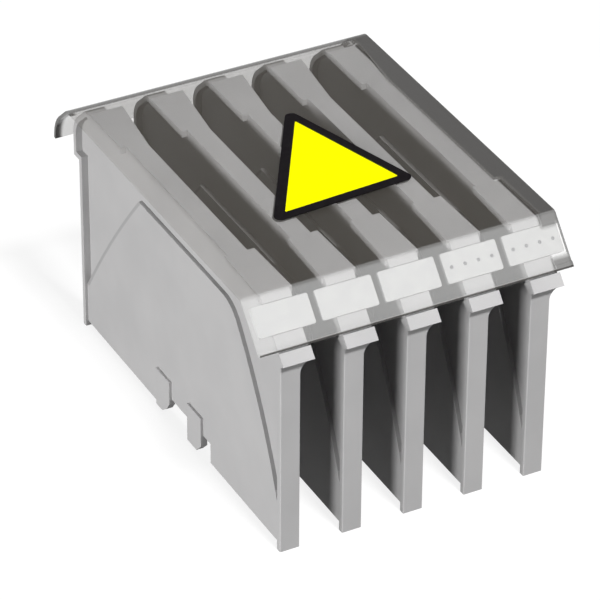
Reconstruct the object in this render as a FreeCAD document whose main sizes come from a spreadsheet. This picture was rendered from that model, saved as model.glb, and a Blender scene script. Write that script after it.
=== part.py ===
import FreeCAD, Part
import math
import os
import sys

import Sketcher

# Row of partition plates for rail mounted terminal blocks.
# Five moulded plates stand side by side. A clear cover sheet lies on their top bars: its rear edge
# rolls down behind the plates and its front edge slants down over their marker heads. Each head
# carries a marker tag, and a triangular sticker lies on the cover.
# Frame: +X along the row, -Y to the front, +Z up. Origin at the middle of the footprint, on the
# plane that the plates stand on.
# Plate coordinates: x from the left edge of the front post, y from its front face, z from its foot.

DIMENSIONS = {
    # Row
    "plate_count": 5,
    "pitch": 23.5,
    # Plate: web between the flanges
    "plate_height": 93.5,
    "plate_depth": 154.0,
    "web_left": 2.5,
    "web_thick": 3.0,
    "web_lift": 2.0,
    # Plate: front post and rear flange
    "post_width": 7.2,
    "post_thick": 2.2,
    "flare_height": 4.6,
    "flange_thick": 2.0,
    "nose_drop": 24.0,
    "nose_gap": 0.6,
    # Plate: top bar
    "bar_thick": 2.5,
    "bar_width": 12.6,
    "bar_rear": 144.0,
    "bar_head_left": 1.0,
    "bar_head_right": 12.0,
    "waist_left": 2.0,
    "waist_right": 9.4,
    "waist_front": 42.0,
    "waist_rear": 119.0,
    "waist_taper": 28.0,
    # Plate: slanted marker head
    "head_left": 0.75,
    "head_width": 10.85,
    "head_wall": 3.2,
    "lip_length": 4.8,
    "lip_rise": 0.3,
    "lip_gap": 0.5,
    "lip_underside": 1.2,
    # Plate: raised panel
    "panel_rise": 1.5,
    "panel_top": 77.7,
    "panel_top_front": 44.3,
    "panel_top_rear": 107.7,
    "panel_shoulder_radius": 13.7,
    "panel_shoulder_angle": 52.0,
    "panel_front_radius": 194.0,
    "panel_front_foot": 12.0,
    "panel_rear_radius": 500.0,
    "panel_rear_foot": 17.8,
    # Plate: rail foot
    "rail_slot_front": 53.6,
    "rail_slot_width": 5.5,
    "rail_block_width": 10.5,
    "rail_notch_width": 14.0,
    "rail_notch_height": 7.9,
    "block_bevel": 3.5,
    "hook_bevel_length": 6.5,
    "hook_bevel_height": 5.9,
    "hook_bevel_knee": 2.5,
    "foot_pad_width": 10.5,
    "foot_pad_height": 15.3,
    "foot_pad_rise": 1.0,
    "foot_relief_margin": 2.0,
    # Cover sheet
    "sheet_thick": 1.2,
    "overhang_left": 6.6,
    "overhang_right": 4.6,
    "roll_start": 2.5,
    "roll_bend_radius": 5.0,
    "roll_slope_angle": 42.0,
    "roll_slope_length": 7.5,
    "roll_end_radius": 14.0,
    "roll_end_angle": 84.0,
    "roll_tail": 2.0,
    "flap_start": 15.1,
    "flap_angle": 48.0,
    "flap_length": 20.0,
    "flap_gap": 0.5,
    "flap_bend_radius": 2.0,
    "rim_length": 1.8,
    "rim_rise": 0.5,
    # Marker tag
    "tag_width": 21.0,
    "tag_height": 10.5,
    "tag_thick": 1.2,
    "tag_start": 3.5,
    "tag_proud": 0.1,
    "tag_clearance": 0.15,
    "tag_corner": 0.8,
    # Triangular sticker, with its corners measured from the first plate
    "sticker_thick": 0.25,
    "sticker_apex_x": 61.4,
    "sticker_apex_y": 114.3,
    "sticker_left_x": 23.4,
    "sticker_left_y": 50.8,
    "sticker_right_x": 79.7,
    "sticker_right_y": 54.3,
    "sticker_corner": 2.4,
    # Rounding of the post's left front edge
    "edge_radius": 0.4,
}


class Size:
    """A length or angle as a number, with the sheet expression that it comes from."""

    def __init__(self, value, text=None):
        self.value = float(value)
        self.text = text if text else str(value)

    def __add__(self, other):
        other = as_size(other)
        return Size(self.value + other.value, f"({self.text} + {other.text})")

    def __sub__(self, other):
        other = as_size(other)
        return Size(self.value - other.value, f"({self.text} - {other.text})")

    def __mul__(self, other):
        other = as_size(other)
        return Size(self.value * other.value, f"({self.text} * {other.text})")

    def __truediv__(self, other):
        other = as_size(other)
        return Size(self.value / other.value, f"({self.text} / {other.text})")

    def __neg__(self):
        return Size(-self.value, f"(0 - {self.text})")


def as_size(number):
    """A Size as it is, and a plain number as a Size without a cell."""
    return number if isinstance(number, Size) else Size(number)


def sine(angle):
    return Size(math.sin(math.radians(angle.value)), f"sin({angle.text})")


def cosine(angle):
    return Size(math.cos(math.radians(angle.value)), f"cos({angle.text})")


def tangent(angle):
    return Size(math.tan(math.radians(angle.value)), f"tan({angle.text})")


class Arc:
    """Round stretch of an outline, which turns left or right as the outline is followed."""

    def __init__(self, radius, turn):
        self.radius = radius
        self.turn = turn


LEFT = 1
RIGHT = -1
ZERO = Size(0)
TOLERANCE = 1e-4

doc = FreeCAD.newDocument("partition_plate_row")
sheet = doc.addObject("Spreadsheet::Sheet", "Dimensions")
for row, (alias, number) in enumerate(DIMENSIONS.items(), start=1):
    sheet.set(f"A{row}", alias)
    sheet.set(f"B{row}", str(number))
    sheet.setAlias(f"B{row}", alias)
doc.recompute()


def dim(alias):
    """One driving dimension, read back from the sheet."""
    return Size(sheet.get(alias), f"Dimensions.{alias}")


# Places that several pieces share
TOP = dim("plate_height")
SHEET_TOP = TOP + dim("sheet_thick")
ROLL_START = dim("bar_rear") + dim("roll_start")
WEB_BOTTOM = dim("web_lift")
WEB_REAR = dim("plate_depth") - dim("flange_thick")
WEB_RIGHT = dim("web_left") + dim("web_thick")
PANEL_LEFT = dim("web_left") - dim("panel_rise")
HEAD_RIGHT = dim("head_left") + dim("head_width")
BLOCK_FRONT = dim("rail_slot_front") + dim("rail_slot_width")
BLOCK_REAR = BLOCK_FRONT + dim("rail_block_width")
HOOK_FRONT = BLOCK_REAR + dim("rail_notch_width")
NOTCH_TOP = WEB_BOTTOM + dim("rail_notch_height")
HEAD_FACE = -(dim("sheet_thick") + dim("flap_gap"))
RECESS_FLOOR = HEAD_FACE + dim("tag_proud") - dim("tag_thick")
LIP_START = dim("flap_length") + dim("lip_gap")
LIP_END = LIP_START + dim("lip_length")


def slant(along, outward):
    """Point on the slanted front, along it from the bend and outward from the flap's outer face."""
    y = dim("flap_start") - along * cosine(dim("flap_angle")) - outward * sine(dim("flap_angle"))
    z = SHEET_TOP - along * sine(dim("flap_angle")) + outward * cosine(dim("flap_angle"))
    return (y, z)


def along_at_height(z, outward):
    """How far along the slanted front a given height is reached."""
    return (SHEET_TOP + outward * cosine(dim("flap_angle")) - z) / sine(dim("flap_angle"))


def slant_at_height(z, outward):
    """Point on the slanted front at a given height."""
    return slant(along_at_height(z, outward), outward)


def roll(depth):
    """Rolled rear edge of the cover from its start to its tip, at a depth below its outer face.

    It is a bend, a slope, a second bend of larger radius and a short straight tail.
    """
    first_radius = dim("roll_bend_radius") - depth
    last_radius = dim("roll_end_radius") - depth
    slope = dim("roll_slope_angle")
    final = dim("roll_end_angle")
    start = (ROLL_START, SHEET_TOP - depth)
    slope_start = (
        start[0] + first_radius * sine(slope),
        start[1] - first_radius * (Size(1) - cosine(slope)),
    )
    slope_end = (
        slope_start[0] + dim("roll_slope_length") * cosine(slope),
        slope_start[1] - dim("roll_slope_length") * sine(slope),
    )
    bend_end = (
        slope_end[0] + last_radius * (sine(final) - sine(slope)),
        slope_end[1] - last_radius * (cosine(slope) - cosine(final)),
    )
    tip = (
        bend_end[0] + dim("roll_tail") * cosine(final),
        bend_end[1] - dim("roll_tail") * sine(final),
    )
    return [start, Arc(first_radius, RIGHT), slope_start, slope_end, Arc(last_radius, RIGHT), bend_end, tip]


def backwards(outline):
    """The same stretch of outline, followed the other way round."""
    return [Arc(item.radius, -item.turn) if isinstance(item, Arc) else item for item in reversed(outline)]


ROLL_TIP = roll(ZERO)[-1]
LIP_FOOT = slant(LIP_END, dim("lip_rise"))[1] - dim("lip_underside")
ROW_LEFT = -dim("overhang_left")
ROW_RIGHT = dim("pitch") * (dim("plate_count") - 1) + dim("bar_width") + dim("overhang_right")
ROW_FRONT = slant(LIP_END, dim("lip_rise"))[0]
MIDDLE_X = (ROW_LEFT + ROW_RIGHT) / 2
MIDDLE_Y = (ROW_FRONT + ROLL_TIP[0]) / 2


def new_body(label, along_row):
    """Body of one sub-part, with plate coordinates placed in the frame of the whole row."""
    body = doc.addObject("PartDesign::Body", label)
    body.Label = label
    body.setExpression("Placement.Base.x", (along_row - MIDDLE_X).text)
    body.setExpression("Placement.Base.y", (-MIDDLE_Y).text)
    return body


def arc_geometry(start, end, arc):
    """Sketch arc from start to end with the given radius, bulging away from its turn."""
    chord = end - start
    left_normal = FreeCAD.Vector(-chord.y, chord.x, 0) / chord.Length
    reach = math.sqrt(arc.radius.value ** 2 - (chord.Length / 2) ** 2)
    centre = (start + end) / 2 + left_normal * reach * arc.turn
    first, last = (start, end) if arc.turn == LEFT else (end, start)
    first_angle = math.atan2(first.y - centre.y, first.x - centre.x)
    last_angle = math.atan2(last.y - centre.y, last.x - centre.x)
    circle = Part.Circle(centre, FreeCAD.Vector(0, 0, 1), arc.radius.value)
    return Part.ArcOfCircle(circle, first_angle, last_angle)


def fix_coordinate(sketch, kind, axis, edge, point, size):
    """Fixes one coordinate of a corner, bound to the sheet."""
    if size.text == ZERO.text:
        sketch.addConstraint(Sketcher.Constraint("PointOnObject", edge, point, axis))
        return
    number = sketch.addConstraint(Sketcher.Constraint(kind, -1, 1, edge, point, size.value))
    sketch.setExpression(f"Constraints[{number}]", size.text)


def draw_outline(sketch, outline):
    """Closed outline of corners. An Arc between two corners bends the edge that joins them."""
    corners = []
    bends = {}
    for item in outline:
        if isinstance(item, Arc):
            bends[len(corners) - 1] = item
        else:
            corners.append(item)
    count = len(corners)
    places = [FreeCAD.Vector(across.value, up.value, 0) for across, up in corners]
    first_edge = sketch.GeometryCount
    ends = []
    for i in range(count):
        start = places[i]
        end = places[(i + 1) % count]
        if i in bends:
            sketch.addGeometry(arc_geometry(start, end, bends[i]))
            ends.append((1, 2) if bends[i].turn == LEFT else (2, 1))
        else:
            sketch.addGeometry(Part.LineSegment(start, end))
            ends.append((1, 2))
    for i in range(count):
        following = (i + 1) % count
        sketch.addConstraint(Sketcher.Constraint(
            "Coincident", first_edge + i, ends[i][1], first_edge + following, ends[following][0]
        ))
    for i, (across, up) in enumerate(corners):
        fix_coordinate(sketch, "DistanceX", -2, first_edge + i, ends[i][0], across)
        fix_coordinate(sketch, "DistanceY", -1, first_edge + i, ends[i][0], up)
    for i, bend in bends.items():
        number = sketch.addConstraint(Sketcher.Constraint("Radius", first_edge + i, bend.radius.value))
        sketch.setExpression(f"Constraints[{number}]", bend.radius.text)


def new_sketch(body, name, plane, offset, outlines):
    """Sketch on one of the body's origin planes, moved along the plane's normal by the offset."""
    sketch = body.newObject("Sketcher::SketchObject", name)
    support = [item for item in body.Origin.OriginFeatures if item.Role == plane][0]
    sketch.AttachmentSupport = [(support, "")]
    sketch.MapMode = "FlatFace"
    sketch.setExpression("AttachmentOffset.Base.z", offset.text)
    for outline in outlines:
        draw_outline(sketch, outline)
    return sketch


def add_pad(body, name, plane, offset, length, outlines):
    """Pad of one or more outlines, from the offset plane by the length."""
    pad = body.newObject("PartDesign::Pad", name)
    pad.Profile = new_sketch(body, name + "Sketch", plane, offset, outlines)
    pad.setExpression("Length", length.text)
    return pad


def side_pad(body, name, left, right, *outlines):
    """Pad of outlines drawn in the side view (y, z), from one place across the plate to another."""
    return add_pad(body, name, "YZ_Plane", left, right - left, outlines)


def plan_pad(body, name, bottom, top, *outlines):
    """Pad of outlines drawn in the top view (x, y), from one height to another."""
    return add_pad(body, name, "XY_Plane", bottom, top - bottom, outlines)


def front_pad(body, name, front, rear, *outlines):
    """Pad of outlines drawn in the front view (x, z). This plane's normal points to the front."""
    return add_pad(body, name, "XZ_Plane", -rear, rear - front, outlines)


def side_pocket(body, name, right, depth, *outlines):
    """Pocket of outlines drawn in the side view, from one place across the plate to its left."""
    pocket = body.newObject("PartDesign::Pocket", name)
    pocket.Profile = new_sketch(body, name + "Sketch", "YZ_Plane", right, outlines)
    pocket.setExpression("Length", depth.text)
    return pocket


def add_fillet(body, name, base, radius, wanted):
    """Fillet of the edges of a feature that the test picks out."""
    doc.recompute()
    names = [f"Edge{i}" for i, edge in enumerate(base.Shape.Edges, start=1) if wanted(edge)]
    fillet = body.newObject("PartDesign::Fillet", name)
    fillet.Base = (base, names)
    fillet.setExpression("Radius", radius.text)
    return fillet


def rectangle(left, right, bottom, top):
    return [(left, bottom), (right, bottom), (right, top), (left, top)]


def web_outline():
    """Side view of the web, which fills the plate between post, head, top bar, nose and flange."""
    wall_middle = (RECESS_FLOOR + HEAD_FACE - dim("head_wall")) / 2
    bar_middle = TOP - dim("bar_thick") / 2
    flange_middle = WEB_REAR + dim("flange_thick") / 2
    nose_floor = TOP - dim("nose_drop") + dim("flange_thick") / 2
    nose = roll(dim("sheet_thick") + dim("nose_gap") + dim("flange_thick") / 2)[:-1]
    return [
        (dim("post_thick") / 2, WEB_BOTTOM),
        (flange_middle, WEB_BOTTOM),
        (flange_middle, nose_floor),
        (nose[-1][0], nose_floor),
        *backwards(nose),
        (dim("bar_rear"), bar_middle),
        slant_at_height(bar_middle, wall_middle),
        slant(LIP_START, wall_middle),
        (dim("post_thick") / 2, LIP_FOOT),
    ]


def panel_outline():
    """Side view of the raised panel: a flat top, a rounded front shoulder and two curved flanks."""
    radius = dim("panel_shoulder_radius")
    angle = dim("panel_shoulder_angle")
    shoulder_end = (
        dim("panel_top_front") - radius * sine(angle),
        dim("panel_top") - radius * (Size(1) - cosine(angle)),
    )
    return [
        (dim("post_thick"), WEB_BOTTOM),
        (WEB_REAR, WEB_BOTTOM),
        (WEB_REAR, dim("panel_rear_foot")),
        Arc(dim("panel_rear_radius"), LEFT),
        (dim("panel_top_rear"), dim("panel_top")),
        (dim("panel_top_front"), dim("panel_top")),
        Arc(radius, LEFT),
        shoulder_end,
        Arc(dim("panel_front_radius"), LEFT),
        (dim("post_thick"), dim("panel_front_foot")),
    ]


def wall_outline():
    """Side view of the slanted wall of the head, with the recess for the marker tag."""
    recess_top = dim("tag_start") - dim("tag_clearance")
    recess_bottom = dim("tag_start") + dim("tag_height") + dim("tag_clearance")
    inner = HEAD_FACE - dim("head_wall")
    return [
        slant(LIP_START, inner),
        slant_at_height(TOP, inner),
        slant_at_height(TOP, HEAD_FACE),
        slant(recess_top, HEAD_FACE),
        slant(recess_top, RECESS_FLOOR),
        slant(recess_bottom, RECESS_FLOOR),
        slant(recess_bottom, HEAD_FACE),
        slant(LIP_START, HEAD_FACE),
    ]


def lip_outline():
    """Side view of the lip that stands out below the end of the flap."""
    return [
        (ZERO, LIP_FOOT),
        (dim("post_thick"), LIP_FOOT),
        slant(LIP_START, HEAD_FACE - dim("head_wall")),
        slant(LIP_START, dim("lip_rise")),
        slant(LIP_END, dim("lip_rise")),
    ]


def flare_outline():
    """Front view of the curved bracket between the post and the right end of the lip."""
    width = HEAD_RIGHT - dim("post_width")
    radius = (width + dim("flare_height")) / 2
    middle = dim("post_width") / 2
    inside_lip = LIP_FOOT + dim("lip_underside") / 2
    return [
        (middle, LIP_FOOT - dim("flare_height")),
        (dim("post_width"), LIP_FOOT - dim("flare_height")),
        Arc(radius, RIGHT),
        (HEAD_RIGHT, LIP_FOOT),
        (HEAD_RIGHT, inside_lip),
        (middle, inside_lip),
    ]


def bar_outline():
    """Top view of the top bar, which is waisted behind its head end and widens to the head."""
    front = slant_at_height(TOP, HEAD_FACE)[0]
    return [
        (ZERO, front),
        (dim("bar_width"), front),
        (dim("bar_head_right"), dim("waist_front")),
        (dim("waist_right"), dim("waist_front")),
        (dim("waist_right"), dim("bar_rear") - dim("waist_taper")),
        (dim("bar_width"), dim("bar_rear")),
        (ZERO, dim("bar_rear")),
        (ZERO, dim("waist_rear")),
        (dim("waist_left"), dim("waist_rear")),
        (dim("waist_left"), dim("waist_front")),
        (dim("bar_head_left"), dim("waist_front")),
    ]


def flange_outline():
    """Side view of the rear flange, with the nose that runs under the rolled edge of the cover."""
    outer = roll(dim("sheet_thick") + dim("nose_gap"))[:-1]
    inner = roll(dim("sheet_thick") + dim("bar_thick"))[:-1]
    nose_bottom = TOP - dim("nose_drop")
    ledge = nose_bottom + dim("flange_thick")
    return [
        (WEB_REAR, ZERO),
        (dim("plate_depth"), ZERO),
        (dim("plate_depth"), nose_bottom),
        (outer[-1][0], nose_bottom),
        *backwards(outer),
        (dim("bar_rear"), outer[0][1]),
        (dim("bar_rear"), inner[0][1]),
        *inner,
        (inner[-1][0], ledge),
        (WEB_REAR, ledge),
    ]


def foot_pad_outline(front):
    """Side view of one of the low pads above the rail foot."""
    return rectangle(front, front + dim("foot_pad_width"), WEB_BOTTOM, WEB_BOTTOM + dim("foot_pad_height"))


def slot_outline():
    """Side view of the slot in front of the rail block, with the bevel of the block's corner."""
    return [
        (dim("rail_slot_front"), ZERO),
        (BLOCK_FRONT + dim("block_bevel") + WEB_BOTTOM, ZERO),
        (BLOCK_FRONT, WEB_BOTTOM + dim("block_bevel")),
        (BLOCK_FRONT, NOTCH_TOP),
        (dim("rail_slot_front"), NOTCH_TOP),
    ]


def notch_outline():
    """Side view of the notch for the rail, with the two bevels of the hook behind it."""
    knee = (HOOK_FRONT + dim("hook_bevel_knee"), WEB_BOTTOM + dim("hook_bevel_knee"))
    return [
        (BLOCK_REAR, ZERO),
        (HOOK_FRONT + dim("hook_bevel_length") + WEB_BOTTOM, ZERO),
        knee,
        (HOOK_FRONT, WEB_BOTTOM + dim("hook_bevel_height")),
        (HOOK_FRONT, NOTCH_TOP),
        (BLOCK_REAR, NOTCH_TOP),
    ]


def relief_outline():
    """Side view of the flat recess that leaves only the panel's thickness round the rail foot."""
    margin = dim("foot_relief_margin")
    rear = HOOK_FRONT + dim("foot_pad_width") + margin
    return rectangle(dim("rail_slot_front") - margin, rear, ZERO, NOTCH_TOP + margin)


def is_post_edge(edge):
    """True for the long upright edge at the front left of the post."""
    middle = edge.CenterOfMass
    at_corner = abs(middle.x) < TOLERANCE and abs(middle.y) < TOLERANCE
    return at_corner and edge.Length > dim("post_width").value


def make_plate(number):
    """One partition plate, moulded in one piece."""
    body = new_body(f"partition_plate_{number + 1}", dim("pitch") * number)
    side_pad(body, "Web", dim("web_left"), WEB_RIGHT, web_outline())
    side_pad(body, "Panel", PANEL_LEFT, dim("web_left"), panel_outline())
    pads = [foot_pad_outline(BLOCK_FRONT), foot_pad_outline(HOOK_FRONT)]
    side_pad(body, "FootPads", PANEL_LEFT - dim("foot_pad_rise"), PANEL_LEFT, *pads)
    side_pad(body, "Wall", dim("head_left"), HEAD_RIGHT, wall_outline())
    side_pad(body, "Lip", ZERO, HEAD_RIGHT, lip_outline())
    side_pad(body, "Flange", ZERO, dim("post_width"), flange_outline())
    post = rectangle(ZERO, dim("post_width"), ZERO, dim("post_thick"))
    plan_pad(body, "Post", ZERO, LIP_FOOT, post)
    front_pad(body, "Flare", ZERO, dim("post_thick"), flare_outline())
    whole = plan_pad(body, "Bar", TOP - dim("bar_thick"), TOP, bar_outline())
    side_pocket(body, "FootRelief", WEB_RIGHT, dim("web_thick"), relief_outline())
    cut = side_pocket(body, "RailCut", WEB_RIGHT, WEB_RIGHT, slot_outline(), notch_outline())
    add_fillet(body, "PostRounding", cut, dim("edge_radius"), is_post_edge)
    doc.recompute()
    if cut.Shape.Volume >= whole.Shape.Volume:
        sys.exit(f"{body.Label}: the rail cut removes nothing")
    return body


def cover_outline():
    """Side view of the cover sheet: rimmed flap, bend, flat top and rolled rear edge."""
    thick = dim("sheet_thick")
    half_turn = tangent(dim("flap_angle") / 2)
    outer_reach = dim("flap_bend_radius") * half_turn
    inner_radius = dim("flap_bend_radius") - thick
    inner_reach = inner_radius * half_turn
    inner_corner = along_at_height(TOP, -thick)
    rim_end = dim("flap_length") - dim("rim_length")
    return [
        slant(dim("flap_length"), -thick),
        slant(dim("flap_length"), dim("rim_rise")),
        slant(rim_end, dim("rim_rise")),
        slant(rim_end - dim("rim_rise"), ZERO),
        slant(outer_reach, ZERO),
        Arc(dim("flap_bend_radius"), RIGHT),
        (dim("flap_start") + outer_reach, SHEET_TOP),
        *roll(ZERO),
        *backwards(roll(thick)),
        (slant(inner_corner, -thick)[0] + inner_reach, TOP),
        Arc(inner_radius, LEFT),
        slant(inner_corner + inner_reach, -thick),
    ]


def make_cover():
    """Clear cover sheet, bent from one strip that is as long as the row."""
    body = new_body("clear_cover", ZERO)
    side_pad(body, "Sheet", ROW_LEFT, ROW_RIGHT, cover_outline())
    return body


def tag_outline():
    """Side view of a marker tag, seated on the floor of its recess."""
    face = HEAD_FACE + dim("tag_proud")
    end = dim("tag_start") + dim("tag_height")
    return [
        slant(end, RECESS_FLOOR),
        slant(dim("tag_start"), RECESS_FLOOR),
        slant(dim("tag_start"), face),
        slant(end, face),
    ]


def make_tag(number):
    """Marker tag, wider than its head and centred on the plate's top bar."""
    body = new_body(f"marker_tag_{number + 1}", dim("pitch") * number)
    left = (dim("bar_width") - dim("tag_width")) / 2
    strip = side_pad(body, "Strip", left, left + dim("tag_width"), tag_outline())
    add_fillet(
        body, "Corners", strip, dim("tag_corner"),
        lambda edge: abs(edge.Length - dim("tag_thick").value) < TOLERANCE,
    )
    return body


def make_sticker():
    """Triangular sticker with rounded corners on the flat top of the cover."""
    body = new_body("triangle_sticker", ZERO)
    triangle = [
        (dim("sticker_left_x"), dim("sticker_left_y")),
        (dim("sticker_right_x"), dim("sticker_right_y")),
        (dim("sticker_apex_x"), dim("sticker_apex_y")),
    ]
    foil = plan_pad(body, "Foil", SHEET_TOP, SHEET_TOP + dim("sticker_thick"), triangle)
    add_fillet(
        body, "Corners", foil, dim("sticker_corner"),
        lambda edge: abs(edge.Length - dim("sticker_thick").value) < TOLERANCE,
    )
    return body


def check_and_write(bodies):
    """Stops at a failed feature or a bad shape, then writes one STEP file for each sub-part."""
    doc.recompute()
    for item in doc.Objects:
        if "Invalid" in item.State or "Error" in item.State:
            sys.exit(f"{item.Name} failed: {item.State}")
    for body in bodies:
        if body.Shape.isNull() or not body.Shape.isValid() or len(body.Shape.Solids) != 1:
            sys.exit(f"{body.Label} has no valid single solid")
    os.makedirs("parts", exist_ok=True)
    for body in bodies:
        body.Shape.exportStep(f"parts/{body.Label}.step")
        print(body.Label, round(body.Shape.Volume, 1), "mm3")


COUNT = int(dim("plate_count").value)
pieces = [make_plate(number) for number in range(COUNT)]
pieces += [make_tag(number) for number in range(COUNT)]
pieces += [make_cover(), make_sticker()]
check_and_write(pieces)
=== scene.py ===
# %% [markdown]
# A row of partition plates for terminal blocks, dressed for its picture.
# The plates, the marker tags, the clear cover and the sticker's black foil come from the CAD model
# and keep their shapes. Here they get their finishes, and the printed yellow field and the small
# marks on two of the tags are added as thin pieces.

# %% Load the frame
import math
from functools import partial

import bpy
from mathutils import Matrix, Vector


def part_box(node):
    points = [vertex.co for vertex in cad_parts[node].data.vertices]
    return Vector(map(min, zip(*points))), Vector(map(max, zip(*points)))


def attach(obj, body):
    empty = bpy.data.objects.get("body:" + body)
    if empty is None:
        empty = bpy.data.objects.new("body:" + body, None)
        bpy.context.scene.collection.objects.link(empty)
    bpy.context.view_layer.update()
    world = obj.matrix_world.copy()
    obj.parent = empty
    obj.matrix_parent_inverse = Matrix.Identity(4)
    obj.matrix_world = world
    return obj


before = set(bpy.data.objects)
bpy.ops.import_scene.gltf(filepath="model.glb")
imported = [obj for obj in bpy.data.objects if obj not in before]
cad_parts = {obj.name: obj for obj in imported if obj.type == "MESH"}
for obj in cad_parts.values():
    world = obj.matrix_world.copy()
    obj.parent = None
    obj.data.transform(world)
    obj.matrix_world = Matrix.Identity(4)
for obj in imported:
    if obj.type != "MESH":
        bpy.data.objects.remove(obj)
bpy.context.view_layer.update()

MM = 0.001
print("nodes:", sorted(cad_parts))

# %% [markdown]
# An operator works on everything that is selected, and the loaded nodes arrive selected. So the
# lesson starts with nothing selected.

# %% Select nothing
bpy.ops.object.select_all(action="DESELECT")
print("selected:", len(bpy.context.selected_objects))

# %% [markdown]
# The camera stands to the front left, well above the row, with a long lens: the row's parallel edges
# hardly converge. It is turned about three axes in order: round the row, down towards it, and a hair
# about its own view line.

# %% The camera
VIEW_AZIMUTH = math.radians(27.926)
VIEW_ELEVATION = math.radians(33.711)
VIEW_ROLL = math.radians(0.386)
VIEW_POINT = Vector((-4.15, -1.3, 40.55)) * MM
VIEW_DISTANCE = 1396 * MM
LENS_MM = 241.1
SENSOR_MM = 36
FAR_CLIP = 20

turn = (
    Matrix.Rotation(-VIEW_AZIMUTH, 4, "Z")
    @ Matrix.Rotation(math.pi / 2 - VIEW_ELEVATION, 4, "X")
    @ Matrix.Rotation(VIEW_ROLL, 4, "Z")
)
bpy.ops.object.camera_add()
camera = bpy.context.object
camera.name = "camera"
camera.matrix_world = Matrix.Translation(VIEW_POINT) @ turn @ Matrix.Translation((0, 0, VIEW_DISTANCE))
camera.data.lens = LENS_MM
camera.data.sensor_width = SENSOR_MM
camera.data.clip_end = FAR_CLIP
bpy.context.scene.camera = camera
print("camera at", [round(value, 3) for value in camera.matrix_world.translation])

# %% [markdown]
# Materials share a few steps, so these get short helpers. The first ones make a material with its
# shader, a grain that reads the object's own coordinates, a colour that drifts with the grain, and a
# bump made from it.

# %% Grain and colour
TONE_PLACES = (0.35, 0.65)
BUMP_STRENGTH = 0.5
EDGE_SAMPLES = 6


def new_material(name, roughness, gloss=0.5):
    """Material with only its shader, which is returned with it. A gloss of 0.5 is plain plastic."""
    material = bpy.data.materials.new(name)
    material.use_nodes = True
    shader = material.node_tree.nodes["Principled BSDF"]
    shader.inputs["Roughness"].default_value = roughness
    shader.inputs["Specular IOR Level"].default_value = gloss
    return material, shader


def object_noise(material, grains_per_metre, detail):
    """Noise on Object coordinates, so that it lies still on the piece."""
    nodes = material.node_tree.nodes
    place = nodes.new("ShaderNodeTexCoord")
    noise = nodes.new("ShaderNodeTexNoise")
    noise.inputs["Scale"].default_value = grains_per_metre
    noise.inputs["Detail"].default_value = detail
    material.node_tree.links.new(place.outputs["Object"], noise.inputs["Vector"])
    return noise


def colour_variation(material, shader, noise, dark, light):
    """Colour that drifts between two close tones with the noise, and is returned."""
    ramp = material.node_tree.nodes.new("ShaderNodeValToRGB")
    for element, position, tone in zip(ramp.color_ramp.elements, TONE_PLACES, (dark, light)):
        element.position = position
        element.color = (*tone, 1)
    material.node_tree.links.new(noise.outputs["Fac"], ramp.inputs["Fac"])
    material.node_tree.links.new(ramp.outputs["Color"], shader.inputs["Base Color"])
    return ramp.outputs["Color"]


def grain_bump(material, shader, noise, depth, edge_radius=0.0):
    """Bump from the grain, over edges that catch light as if they had a small radius."""
    nodes = material.node_tree.nodes
    links = material.node_tree.links
    bump = nodes.new("ShaderNodeBump")
    bump.inputs["Strength"].default_value = BUMP_STRENGTH
    bump.inputs["Distance"].default_value = depth
    links.new(noise.outputs["Fac"], bump.inputs["Height"])
    links.new(bump.outputs["Normal"], shader.inputs["Normal"])
    if edge_radius:
        edges = nodes.new("ShaderNodeBevel")
        edges.samples = EDGE_SAMPLES
        edges.inputs["Radius"].default_value = edge_radius
        links.new(edges.outputs["Normal"], bump.inputs["Normal"])


print("helpers for grain and colour are ready")

# %% [markdown]
# A zone of a surface, such as an edge or a margin, is a number between 0 and 1 that is worked out
# from the place on the object. These helpers read a coordinate, turn it into a soft step, join
# several numbers into one, and go from one colour to another with it. A Mix node has sockets for each
# kind of data, so its colour sockets are taken by their numbers.

# %% Zones of a surface
FIRST_COLOUR = 6
SECOND_COLOUR = 7
MIXED_COLOUR = 2


def axis(material, name):
    """One of the object's own coordinates."""
    place = material.node_tree.nodes.new("ShaderNodeTexCoord")
    split = material.node_tree.nodes.new("ShaderNodeSeparateXYZ")
    material.node_tree.links.new(place.outputs["Object"], split.inputs["Vector"])
    return split.outputs[name]


def between(material, value, start, end, low=0, high=1):
    """A number that goes from low to high while the value goes from start to end."""
    ramp = material.node_tree.nodes.new("ShaderNodeMapRange")
    ramp.inputs["From Min"].default_value = start
    ramp.inputs["From Max"].default_value = end
    ramp.inputs["To Min"].default_value = low
    ramp.inputs["To Max"].default_value = high
    material.node_tree.links.new(value, ramp.inputs["Value"])
    return ramp.outputs["Result"]


def combine(material, operation, *values):
    """One number from two or more, by repeating a maths operation."""
    total = values[0]
    for value in values[1:]:
        step = material.node_tree.nodes.new("ShaderNodeMath")
        step.operation = operation
        for socket, given in zip(step.inputs, (total, value)):
            if isinstance(given, float):
                socket.default_value = given
            else:
                material.node_tree.links.new(given, socket)
        total = step.outputs["Value"]
    return total


def blend(material, mask, first, second):
    """Colour that goes from the first to the second with the mask."""
    mix = material.node_tree.nodes.new("ShaderNodeMix")
    mix.data_type = "RGBA"
    material.node_tree.links.new(mask, mix.inputs["Factor"])
    for number, colour in ((FIRST_COLOUR, first), (SECOND_COLOUR, second)):
        if isinstance(colour, tuple):
            mix.inputs[number].default_value = (*colour, 1)
        else:
            material.node_tree.links.new(colour, mix.inputs[number])
    return mix.outputs[MIXED_COLOUR]


print("helpers for zones are ready")

# %% [markdown]
# The CAD nodes keep their meshes and only change their material slots. The plates and the tags are
# found by their names.

# %% Dress the CAD nodes


def dress(node_names, material):
    """Gives CAD nodes a material in place of their plain one."""
    for name in node_names:
        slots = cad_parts[name].material_slots
        for slot in slots:
            slot.material = material
        if not slots:
            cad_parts[name].data.materials.append(material)


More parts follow.
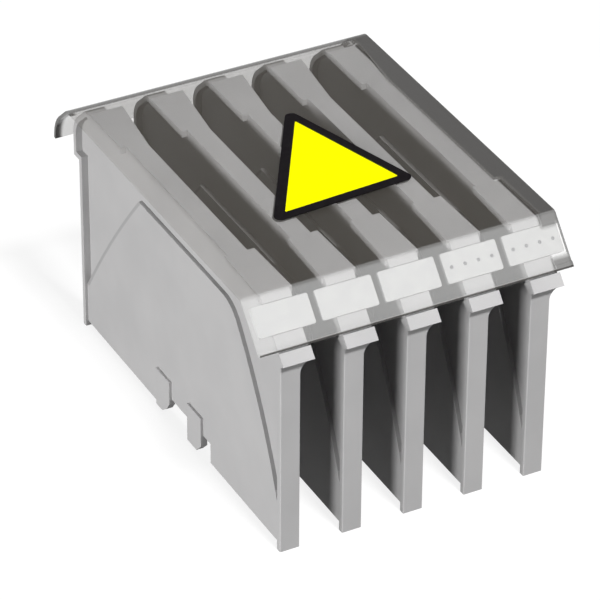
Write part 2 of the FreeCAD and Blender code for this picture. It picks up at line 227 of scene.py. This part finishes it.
PLATES = [name for name in sorted(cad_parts) if name.startswith("partition_plate")]
TAGS = [name for name in sorted(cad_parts) if name.startswith("marker_tag")]
print(len(PLATES), "plates,", len(TAGS), "tags")

# %% [markdown]
# The plates are moulded in light grey plastic with a fine matt skin. On the real part the mould's
# texture scatters light, and the colour drifts a little where the melt flowed. A slow noise drifts the
# colour, a fine one makes the skin, and the shader's own roughness keeps the gloss low.

# %% Plate plastic
PLATE_LIGHT = (0.502, 0.497, 0.498)
PLATE_DARK = (0.468, 0.464, 0.466)

plate_plastic, plate_shader = new_material("plate_plastic", roughness=0.58, gloss=0.16)
melt_flow = object_noise(plate_plastic, grains_per_metre=35, detail=3)
plate_colour = colour_variation(plate_plastic, plate_shader, melt_flow, PLATE_DARK, PLATE_LIGHT)
skin = object_noise(plate_plastic, grains_per_metre=2600, detail=2)
grain_bump(plate_plastic, plate_shader, skin, depth=0.02 * MM, edge_radius=0.15 * MM)
dress(PLATES, plate_plastic)
print("plate plastic on", len(PLATES), "nodes")

# %% [markdown]
# The edge of the raised panel gets a darker line of painted shade on the plate, where the step would hold
# shade. Its faces lie between the panel's face and the web's face, so the place across a plate finds them.
# The plates repeat at an even pitch, so the remainder after whole pitches is the place across any one of
# them. The foot, the post, the flange and the head are kept out by their height and depth.

# %% Zone of the painted shade on the panel's edge
PANEL_FACE = 1.0 * MM
WEB_FACE = 2.5 * MM
FOOT_TOP = 18 * MM
LIP_REACH = 2.05 * MM
POST_CLEAR = 5.5 * MM
FLANK_LOW = Vector((152.0, 17.8)) * MM
FLANK_HIGH = Vector((107.7, 77.7)) * MM
NARROW = 0.1 * MM

row_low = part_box(PLATES[0])[0]
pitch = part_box(PLATES[1])[0][0] - row_low[0]
plate_front = row_low[1] + LIP_REACH
post_back = plate_front + POST_CLEAR
flank_end = plate_front + FLANK_LOW.x

ramp = partial(between, plate_plastic)
both = partial(combine, plate_plastic, "MULTIPLY")
x, y, z = (axis(plate_plastic, name) for name in "XYZ")
from_left = combine(plate_plastic, "SUBTRACT", x, float(row_low[0]))
across = combine(plate_plastic, "MODULO", from_left, float(pitch))
above_foot = ramp(z, FOOT_TOP - NARROW, FOOT_TOP)
below_head = ramp(z, FLANK_HIGH.y + 2 * NARROW, FLANK_HIGH.y + NARROW)
behind_post = ramp(y, post_back, post_back + NARROW)
before_flange = ramp(y, flank_end, flank_end - NARROW)
on_web = both(above_foot, below_head, behind_post, before_flange)
right_of_panel = ramp(across, PANEL_FACE, PANEL_FACE + NARROW)
left_of_web = ramp(across, WEB_FACE, WEB_FACE - NARROW)
# Painted shade: the faces of the panel's edge, to be darkened.
panel_edge_shade = both(right_of_panel, left_of_web, on_web)
print("pitch", round(pitch / MM, 2), "mm")

# %% [markdown]
# The rear flank of the panel leans away from the eye, so its edge alone is too thin to see. It gets a
# narrow rim of painted shade on the panel's face as well. The flank is an arc, so the rim lies just inside
# a distance from the arc's centre.

# %% Zone of the painted shade on the rear flank's rim
FLANK_RADIUS = 500 * MM
FLANK_RIM = 1.3 * MM

chord = FLANK_HIGH - FLANK_LOW
reach = math.sqrt(FLANK_RADIUS**2 - (chord.length / 2) ** 2)
inward = Vector((-chord.y, chord.x)).normalized()
centre = (FLANK_LOW + FLANK_HIGH) / 2 + inward * reach

flat_place = plate_plastic.node_tree.nodes.new("ShaderNodeCombineXYZ")
distance = plate_plastic.node_tree.nodes.new("ShaderNodeVectorMath")
distance.operation = "DISTANCE"
distance.inputs[1].default_value = (0, plate_front + centre.x, centre.y)
plate_plastic.node_tree.links.new(y, flat_place.inputs["Y"])
plate_plastic.node_tree.links.new(z, flat_place.inputs["Z"])
plate_plastic.node_tree.links.new(flat_place.outputs["Vector"], distance.inputs[0])

rim_start = FLANK_RADIUS - FLANK_RIM
near_flank = ramp(distance.outputs["Value"], rim_start, rim_start + NARROW)
before_step = ramp(across, PANEL_FACE + NARROW, PANEL_FACE)
on_panel = ramp(across, PANEL_FACE - 2 * NARROW, PANEL_FACE - NARROW)
# Painted shade: a narrow rim on the panel's face along the rear flank.
flank_rim_shade = both(near_flank, on_panel, before_step, on_web)
print("centre of the flank's arc at", [round(value / MM, 1) for value in centre], "mm")

# %% [markdown]
# Both zones take a darker tone of the same plastic: painted shade where the panel's step would gather it.

# %% Painted shade on the panel's edges
EDGE_SHADE_TONE = (0.38, 0.376, 0.378)

# The painted shade of both zones darkens the plate's colour.
painted_edge_shade = combine(plate_plastic, "MAXIMUM", panel_edge_shade, flank_rim_shade)
shaded_edge_colour = blend(plate_plastic, painted_edge_shade, plate_colour, EDGE_SHADE_TONE)
plate_plastic.node_tree.links.new(shaded_edge_colour, plate_shader.inputs["Base Color"])
print("nodes in the plate plastic:", len(plate_plastic.node_tree.nodes))

# %% [markdown]
# The marker tags are snapped out of a white strip. They are smoother and brighter than the plates,
# with a trace of the mould's flow.

# %% Tag plastic
TAG_LIGHT = (0.565, 0.565, 0.56)
TAG_DARK = (0.535, 0.535, 0.535)

tag_plastic, shader = new_material("tag_plastic", roughness=0.42)
tag_flow = object_noise(tag_plastic, grains_per_metre=260, detail=2)
colour_variation(tag_plastic, shader, tag_flow, TAG_DARK, TAG_LIGHT)
skin = object_noise(tag_plastic, grains_per_metre=3200, detail=2)
grain_bump(tag_plastic, shader, skin, depth=0.015 * MM, edge_radius=0.2 * MM)
dress(TAGS, tag_plastic)
print("tag plastic on", len(TAGS), "nodes")

# %% [markdown]
# The cover is a thin bent sheet of clear plastic. It looks darker at its cut edges, in the rolled rear edge
# and on the margin to the right of the last plate, so each of these is a zone of painted shade on the
# sheet. First come the places that bound them, measured from the boxes of the cover, the last plate and the
# last tag.

# %% Places on the cover
FLAP_DEPTH = 14.0 * MM
WAIST_INSET = 2.6 * MM
WAIST_START = 40.6 * MM
WAIST_END = 142.6 * MM
WAIST_TAPER = 28 * MM
SEEN_THROUGH = 0.9 * MM
HEAD_INSET = 2.2 * MM
ROLL_DEPTH = 14.8 * MM
OUTER_FACE = 1.1 * MM

cover_low, cover_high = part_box("clear_cover")
plate_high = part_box(PLATES[-1])[1]
tag_low, tag_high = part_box(TAGS[-1])
flap_rear = cover_low[1] + FLAP_DEPTH
waist_right = plate_high[0] - WAIST_INSET - SEEN_THROUGH
waist_front = cover_low[1] + WAIST_START
waist_rear = cover_low[1] + WAIST_END
head_right = plate_high[0] - HEAD_INSET
roll_front = cover_high[1] - ROLL_DEPTH
outer_face = cover_high[2] - OUTER_FACE
print("flap ends at", round(flap_rear / MM, 1), "mm, roll starts at", round(roll_front / MM, 1), "mm")

# %% [markdown]
# All these zones are painted shade. The margin follows the last plate's bar, which is narrower between its
# ends. On the flap the margin is darkened above and below the tag only. Along the roll there is a light
# painted shade, a dark line on the outer face where the sheet starts to bend, and a dark left end. The cut
# edges at the right and in front are thin dark lines.

# %% Zones of painted shade on the cover
SOFT_EDGE = 0.5 * MM
CUT_EDGE = 0.12 * MM
LINE_WIDTH = 0.7 * MM
END_WIDTH = 1.6 * MM
TAG_SHOWN = 1.4 * MM
FLAP_MARGIN_SHADE = 0.8
ROLL_SHADE = 0.13

clear_plastic, shader = new_material("clear_plastic", roughness=0.12)
ramp = partial(between, clear_plastic)
both = partial(combine, clear_plastic, "MULTIPLY")
either = partial(combine, clear_plastic, "MAXIMUM")
x, y, z = (axis(clear_plastic, name) for name in "XYZ")

# Painted shade: the sheet is darkened where it overhangs to the right of the last plate's bar.
on_top = ramp(y, flap_rear, flap_rear + SOFT_EDGE)
wide_head = ramp(y, waist_front + SOFT_EDGE, waist_front)
wide_rear = ramp(y, waist_rear - WAIST_TAPER, waist_rear)
bar_widening = both(either(wide_head, wide_rear), WAIST_INSET)
from_bar = combine(clear_plastic, "SUBTRACT", x, bar_widening)
margin_shade = both(ramp(from_bar, waist_right, waist_right + SOFT_EDGE), on_top)

# Painted shade: the flap right of the last head is darkened above and below the tag.
below_tag = ramp(z, tag_low[2] + TAG_SHOWN, tag_low[2])
above_tag = ramp(z, tag_high[2], tag_high[2] + SOFT_EDGE)
right_of_head = ramp(x, head_right, head_right + SOFT_EDGE)
flap_margin_shade = both(right_of_head, either(below_tag, above_tag), FLAP_MARGIN_SHADE)

# Painted shade: a light darkening along the roll, a dark line where it starts to bend, and a dark left end.
in_roll = ramp(y, roll_front, roll_front + SOFT_EDGE)
roll_shade = both(in_roll, ROLL_SHADE)
bend_line_shade = both(in_roll, ramp(z, outer_face, outer_face + CUT_EDGE))
left_end_shade = both(in_roll, ramp(x, cover_low[0] + 2 * END_WIDTH, cover_low[0] + END_WIDTH))
# Painted shade: thin dark lines along the right and front cut edges.
right_cut_shade = ramp(x, cover_high[0] - 2 * CUT_EDGE, cover_high[0] - CUT_EDGE)
front_cut_shade = ramp(y, cover_low[1] + LINE_WIDTH, cover_low[1] + LINE_WIDTH / 2)
painted_shade = either(margin_shade, flap_margin_shade, roll_shade, bend_line_shade, left_end_shade, right_cut_shade, front_cut_shade)
print("nodes for the zones:", len(clear_plastic.node_tree.nodes))

# %% [markdown]
# Light passes straight through such a thin sheet, so it is made with the shader's alpha instead of
# refraction: a low alpha with a grey tint gives its haze, and the gloss stays on top. On the flap the tint
# is near white, a painted sheen where the flap faces the lamps, while the top's tint is dark. The zones of
# painted shade raise the alpha and darken the tint. A faint slow bump keeps the sheet from being perfectly
# flat.

# %% Clear cover
TOP_TINT = (0.165, 0.147, 0.122)
FLAP_SHEEN_TINT = (0.90, 0.90, 0.89)
SHADE_TINT = (0.025, 0.022, 0.019)
TOP_ALPHA = 0.15
FLAP_ALPHA = 0.155
SHADE_ALPHA = 0.86

haze = ramp(on_top, 0, 1, FLAP_ALPHA, TOP_ALPHA)
# Painted sheen: the flap's near-white tint stands in for the light it catches.
haze_and_sheen_tint = blend(clear_plastic, on_top, FLAP_SHEEN_TINT, TOP_TINT)
haze_left = both(ramp(painted_shade, 0, 1, 1, 0), haze)
alpha = combine(clear_plastic, "ADD", haze_left, both(painted_shade, SHADE_ALPHA))
# Painted shade: the zones darken the tint towards near black.
tint = blend(clear_plastic, painted_shade, haze_and_sheen_tint, SHADE_TINT)
clear_plastic.node_tree.links.new(alpha, shader.inputs["Alpha"])
clear_plastic.node_tree.links.new(tint, shader.inputs["Base Color"])
waves = object_noise(clear_plastic, grains_per_metre=30, detail=2)
grain_bump(clear_plastic, shader, waves, depth=0.05 * MM)
dress(["clear_cover"], clear_plastic)
print("cover from", round(cover_low[1] / MM, 1), "to", round(cover_high[1] / MM, 1), "mm")

# %% [markdown]
# The sticker is printed foil: a black rim round a yellow field. The black foil is the CAD node. Both
# prints are dull, with a faint unevenness where the ink lies thinner.

# %% Foil and print
FOIL_BLACK = (0.003, 0.002, 0.003)
FOIL_WORN = (0.006, 0.005, 0.006)
YELLOW = (1.0, 1.0, 0.0)
YELLOW_THIN = (0.97, 0.95, 0.0)
PRINT_GLOSS = 0.04

black_foil, shader = new_material("black_foil", roughness=0.6, gloss=PRINT_GLOSS)
foil_ink = object_noise(black_foil, grains_per_metre=400, detail=2)
colour_variation(black_foil, shader, foil_ink, FOIL_BLACK, FOIL_WORN)
foil_grain = object_noise(black_foil, grains_per_metre=1500, detail=2)
grain_bump(black_foil, shader, foil_grain, depth=0.01 * MM)
dress(["triangle_sticker"], black_foil)

yellow_print, shader = new_material("yellow_print", roughness=0.5, gloss=PRINT_GLOSS)
yellow_ink = object_noise(yellow_print, grains_per_metre=300, detail=2)
colour_variation(yellow_print, shader, yellow_ink, YELLOW_THIN, YELLOW)
print("foil and print materials made")

# %% [markdown]
# Operators in edit mode act on the selected vertices, edges or faces. This helper picks them in code,
# by a test on each.

# %% Select by a test


def select_where(piece, kind, test):
    """In edit mode, selects the vertices, edges or faces that pass the test. Leaves edit mode on."""
    bpy.ops.object.mode_set(mode="EDIT")
    bpy.ops.mesh.select_mode(type=kind)
    bpy.ops.mesh.select_all(action="DESELECT")
    bpy.ops.object.mode_set(mode="OBJECT")
    parts = {"VERT": piece.data.vertices, "EDGE": piece.data.edges, "FACE": piece.data.polygons}[kind]
    for part in parts:
        part.select = test(part)
    bpy.ops.object.mode_set(mode="EDIT")


print("selection helper is ready")

# %% [markdown]
# The yellow field has the outline of the foil, set in by the width of the rim. It starts as a circle
# of three corners, and each corner is moved to its place on the foil.

# %% Outline of the yellow field
STICKER_CORNERS = [
    Vector((-28.9, -28.28, 0)) * MM,
    Vector((27.4, -24.78, 0)) * MM,
    Vector((9.1, 35.22, 0)) * MM,
]
START_RADIUS = 20 * MM

foil_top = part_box("triangle_sticker")[1][2]
bpy.ops.mesh.primitive_circle_add(
    vertices=len(STICKER_CORNERS), radius=START_RADIUS, fill_type="NGON", location=(0, 0, foil_top)
)
field = bpy.context.object
field.name = "yellow_field"
bpy.ops.object.transform_apply(location=True, rotation=True, scale=True)

corner_numbers = range(len(STICKER_CORNERS))
corner_order = sorted(corner_numbers, key=lambda i: math.atan2(*reversed(field.data.vertices[i].co.xy)))
target_order = sorted(STICKER_CORNERS, key=lambda corner: math.atan2(corner.y, corner.x))
for index, corner in zip(corner_order, target_order):
    shift = Vector((corner.x, corner.y, foil_top)) - field.data.vertices[index].co
    select_where(field, "VERT", lambda vertex: vertex.index == index)
    bpy.ops.transform.translate(value=shift)
    bpy.ops.object.mode_set(mode="OBJECT")
print("field outline over", [round(value / MM, 1) for value in field.dimensions], "mm")

# %% [markdown]
# The face is inset by the rim and the ring outside it is deleted. Then its corners are rounded and it
# is raised by the thickness of the ink.

# %% The yellow field
FOIL_RIM = 3.7 * MM
FIELD_ROUND = 0.7 * MM
FIELD_ROUND_STEPS = 5
INK_THICK = 0.04 * MM

select_where(field, "FACE", lambda face: True)
bpy.ops.mesh.inset(thickness=FOIL_RIM, depth=0)
bpy.ops.mesh.select_all(action="INVERT")
bpy.ops.mesh.delete(type="FACE")
bpy.ops.mesh.select_all(action="SELECT")
bpy.ops.mesh.bevel(offset=FIELD_ROUND, segments=FIELD_ROUND_STEPS, affect="VERTICES")
bpy.ops.mesh.select_all(action="SELECT")
bpy.ops.mesh.extrude_region_move(TRANSFORM_OT_translate={"value": (0, 0, INK_THICK)})
bpy.ops.mesh.select_all(action="SELECT")
bpy.ops.mesh.normals_make_consistent(inside=False)
bpy.ops.object.mode_set(mode="OBJECT")
field.data.materials.append(yellow_print)
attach(field, "root")
print("yellow field:", len(field.data.vertices), "vertices")

# %% [markdown]
# The last two tags carry four small printed marks each, in a worn grey ink.

# %% Ink of the marks
INK_DARK = (0.16, 0.16, 0.17)
INK_WORN = (0.26, 0.26, 0.27)

mark_ink, shader = new_material("mark_ink", roughness=0.6)
ink_wear = object_noise(mark_ink, grains_per_metre=2000, detail=2)
colour_variation(mark_ink, shader, ink_wear, INK_DARK, INK_WORN)
print("mark ink made")

# %% [markdown]
# One mark is a low cylinder with a softened rim, lying on the slanted face of its tag. It is turned
# to the face, and the marks stand at an even spacing about the tag's middle.

# %% Marks on two tags
FACE_TILT = math.radians(48)
TAG_THICK = 1.2 * MM
MARK_RADIUS = 0.68 * MM
MARK_THICK = 0.06 * MM
MARK_SPACING = 5.1 * MM
MARKS_PER_TAG = 4
MARK_SIDES = 20
MARK_RIM_STEPS = 2
FACING_OUT = 0.9

face_normal = Vector((0, -math.sin(FACE_TILT), math.cos(FACE_TILT)))


def make_mark(tag_name, number):
    """One mark on the slanted face of a tag, counted from the tag's left end."""
    low, high = (Vector(corner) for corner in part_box(tag_name))
    along = Vector(((number - (MARKS_PER_TAG - 1) / 2) * MARK_SPACING, 0, 0))
    place = (low + high) / 2 + along + face_normal * (TAG_THICK + MARK_THICK) / 2
    bpy.ops.mesh.primitive_cylinder_add(
        vertices=MARK_SIDES,
        radius=MARK_RADIUS,
        depth=MARK_THICK,
        location=place,
        rotation=(FACE_TILT, 0, 0),
    )
    mark = bpy.context.object
    mark.name = f"{tag_name}_mark_{number + 1}"
    bpy.ops.object.transform_apply(location=True, rotation=True, scale=True)
    select_where(mark, "FACE", lambda face: face.normal.dot(face_normal) > FACING_OUT)
    bpy.ops.mesh.bevel(offset=MARK_THICK / 2, segments=MARK_RIM_STEPS, affect="EDGES")
    bpy.ops.object.mode_set(mode="OBJECT")
    mark.data.materials.append(mark_ink)
    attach(mark, "root")
    return mark


marks = [make_mark(tag_name, number) for tag_name in TAGS[-2:] for number in range(MARKS_PER_TAG)]
print(len(marks), "marks on", TAGS[-2:])

# %% [markdown]
# The floor and the world show white to the camera and in reflections, and less to everything else, so
# that they don't flood the object with light. Light Path tells the rays apart.

# %% Rays that see the background


def seen_directly(tree):
    """Gives 1 to rays from the camera, in reflections and through clear plastic, and 0 to bounced light."""
    rays = tree.nodes.new("ShaderNodeLightPath")
    seen = rays.outputs["Is Camera Ray"]
    for kind in ("Is Glossy Ray", "Is Transmission Ray"):
        larger = tree.nodes.new("ShaderNodeMath")
        larger.operation = "MAXIMUM"
        tree.links.new(seen, larger.inputs[0])
        tree.links.new(rays.outputs[kind], larger.inputs[1])
        seen = larger.outputs[0]
    return seen


print("ray helper is ready")

# %% [markdown]
# The row stands on a pale floor. Seen directly, its material shows white, mixed with a share of its
# real shading, so that a soft shadow stays under the feet. As a source of bounced light it is dark,
# so that the gaps between the plates stay dark.

# %% Floor
FLOOR_SIZE = 8.0
FLOOR_PAPER = (0.9, 0.9, 0.9, 1)
FLOOR_SHADING = 0.2
FLOOR_GLOW = 1.06
FLOOR_BOUNCE = (0.05, 0.05, 0.05, 1)

bpy.ops.mesh.primitive_plane_add(size=FLOOR_SIZE, location=(0, 0, 0))
floor = bpy.context.object
floor.name = "floor"
floor_paper, shader = new_material("floor_paper", roughness=0.9, gloss=0.0)
shader.inputs["Base Color"].default_value = FLOOR_PAPER
nodes = floor_paper.node_tree.nodes
links = floor_paper.node_tree.links
glow = nodes.new("ShaderNodeEmission")
glow.inputs["Strength"].default_value = FLOOR_GLOW
shown = nodes.new("ShaderNodeMixShader")
shown.inputs["Fac"].default_value = 1 - FLOOR_SHADING
links.new(shader.outputs["BSDF"], shown.inputs[1])
links.new(glow.outputs["Emission"], shown.inputs[2])
bounce = nodes.new("ShaderNodeBsdfDiffuse")
bounce.inputs["Color"].default_value = FLOOR_BOUNCE
mix = nodes.new("ShaderNodeMixShader")
links.new(seen_directly(floor_paper.node_tree), mix.inputs["Fac"])
links.new(bounce.outputs["BSDF"], mix.inputs[1])
links.new(shown.outputs["Shader"], mix.inputs[2])
links.new(mix.outputs["Shader"], nodes["Material Output"].inputs["Surface"])
floor.data.materials.append(floor_paper)
print("floor laid")

# %% [markdown]
# The world is white where it is seen directly, and a weak even light for everything else.

# %% World
WHITE = (1, 1, 1, 1)
WORLD_LEVEL = 0.035
BACKDROP_LEVEL = 1.0

world = bpy.data.worlds.new("studio")
bpy.context.scene.world = world
world.use_nodes = True
nodes = world.node_tree.nodes
links = world.node_tree.links
even = nodes["Background"]
even.inputs["Color"].default_value = WHITE
even.inputs["Strength"].default_value = WORLD_LEVEL
backdrop = nodes.new("ShaderNodeBackground")
backdrop.inputs["Color"].default_value = WHITE
backdrop.inputs["Strength"].default_value = BACKDROP_LEVEL
mix = nodes.new("ShaderNodeMixShader")
links.new(seen_directly(world.node_tree), mix.inputs["Fac"])
links.new(even.outputs["Background"], mix.inputs[1])
links.new(backdrop.outputs["Background"], mix.inputs[2])
links.new(mix.outputs["Shader"], nodes["World Output"].inputs["Surface"])
print("world level", WORLD_LEVEL)

# %% [markdown]
# The light is a plain studio set of square lamps. A side light and a key at the front left light the
# long side and the posts, a lamp high in front lights the heads and the bars, and two low ones light
# the back and the right side, which the picture doesn't show. None is mirrored in the clear cover.

# %% Lamps
LAMP_DISTANCE = 3.2


def add_lamp(name, direction, size, power):
    """Square area lamp that looks at the row from a direction and isn't mirrored in the clear cover."""
    place = Vector(direction).normalized() * LAMP_DISTANCE
    bpy.ops.object.light_add(type="AREA", location=place)
    lamp = bpy.context.object
    lamp.name = name
    lamp.data.size = size
    lamp.data.energy = power
    lamp.visible_glossy = False
    lamp.rotation_euler = place.to_track_quat("Z", "Y").to_euler()
    return lamp


lamps = [
    add_lamp("side_light", (-0.98, 0.0, 0.20), size=1.0, power=43),
    add_lamp("key", (-0.88, -0.44, 0.18), size=0.8, power=56),
    add_lamp("flap_light", (0.04, -0.54, 0.84), size=0.4, power=98),
    add_lamp("back_light", (0.0, 0.99, 0.07), size=0.5, power=40),
    add_lamp("right_light", (1.0, 0.0, 0.09), size=0.8, power=70),
]
print("lamps:", [lamp.name for lamp in lamps])

# %% [markdown]
# The picture is shown as it is lit, with the plain colour view.

# %% Colour view
bpy.context.scene.view_settings.view_transform = "Standard"
